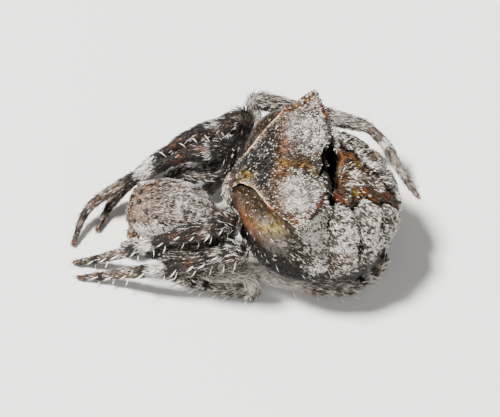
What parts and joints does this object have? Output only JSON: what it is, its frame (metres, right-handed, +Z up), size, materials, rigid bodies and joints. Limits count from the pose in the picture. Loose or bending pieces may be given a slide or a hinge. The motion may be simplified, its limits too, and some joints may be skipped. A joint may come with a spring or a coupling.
{
  "type": "orb weaver spider",
  "caption": "Still life-size orb weaver spider with a humped, ridged abdomen and its hairy legs drawn in, resting on a floor.",
  "frame": {"origin": "on the floor, under the middle of the whole spider's box", "axes": "+Z up; the spider faces -Y and its left side is +X"},
  "size_m": [0.0076, 0.0125, 0.0059],
  "materials": {
    "grey_scaled_skin": "soft skin under short flat scale hairs",
    "brown_grey_hair": "horny shield under short woolly hair",
    "dark_horn": "smooth dark horn",
    "eye": "clear black gloss",
    "leg_grey_hair": "horny skin under grey hair",
    "leg_dark_hair": "horny skin under dark and white hair",
    "leg_banded_hair": "horny skin banded dark and pale"
  },
  "bodies": {
    "root": {"abdomen": "grey_scaled_skin", "carapace": "brown_grey_hair", "chelicera_left": "dark_horn", "chelicera_right": "dark_horn", "eye_back_middle_left": "eye", "eye_back_middle_right": "eye", "eye_back_side_left": "eye", "eye_back_side_right": "eye", "eye_front_middle_left": "eye", "eye_front_middle_right": "eye", "eye_front_side_left": "eye", "eye_front_side_right": "eye", "leg_left_1_femur": "leg_grey_hair", "leg_left_1_foot": "leg_banded_hair", "leg_left_1_tibia": "leg_dark_hair", "leg_left_2_femur": "leg_grey_hair", "leg_left_2_foot": "leg_banded_hair", "leg_left_2_tibia": "leg_dark_hair", "leg_left_3_femur": "leg_grey_hair", "leg_left_3_foot": "leg_banded_hair", "leg_left_3_tibia": "leg_dark_hair", "leg_left_4_femur": "leg_grey_hair", "leg_left_4_foot": "leg_banded_hair", "leg_left_4_tibia": "leg_dark_hair", "leg_right_1_femur": "leg_grey_hair", "leg_right_1_foot": "leg_banded_hair", "leg_right_1_tibia": "leg_dark_hair", "leg_right_2_femur": "leg_grey_hair", "leg_right_2_foot": "leg_banded_hair", "leg_right_2_tibia": "leg_dark_hair", "leg_right_3_femur": "leg_grey_hair", "leg_right_3_foot": "leg_banded_hair", "leg_right_3_tibia": "leg_dark_hair", "leg_right_4_femur": "leg_grey_hair", "leg_right_4_foot": "leg_banded_hair", "leg_right_4_tibia": "leg_dark_hair", "pedicel": "dark_horn", "pedipalp_left": "brown_grey_hair", "pedipalp_right": "brown_grey_hair", "spinneret_left": "brown_grey_hair", "spinneret_right": "brown_grey_hair", "sternum": "dark_horn"}
  },
  "joints": []
}
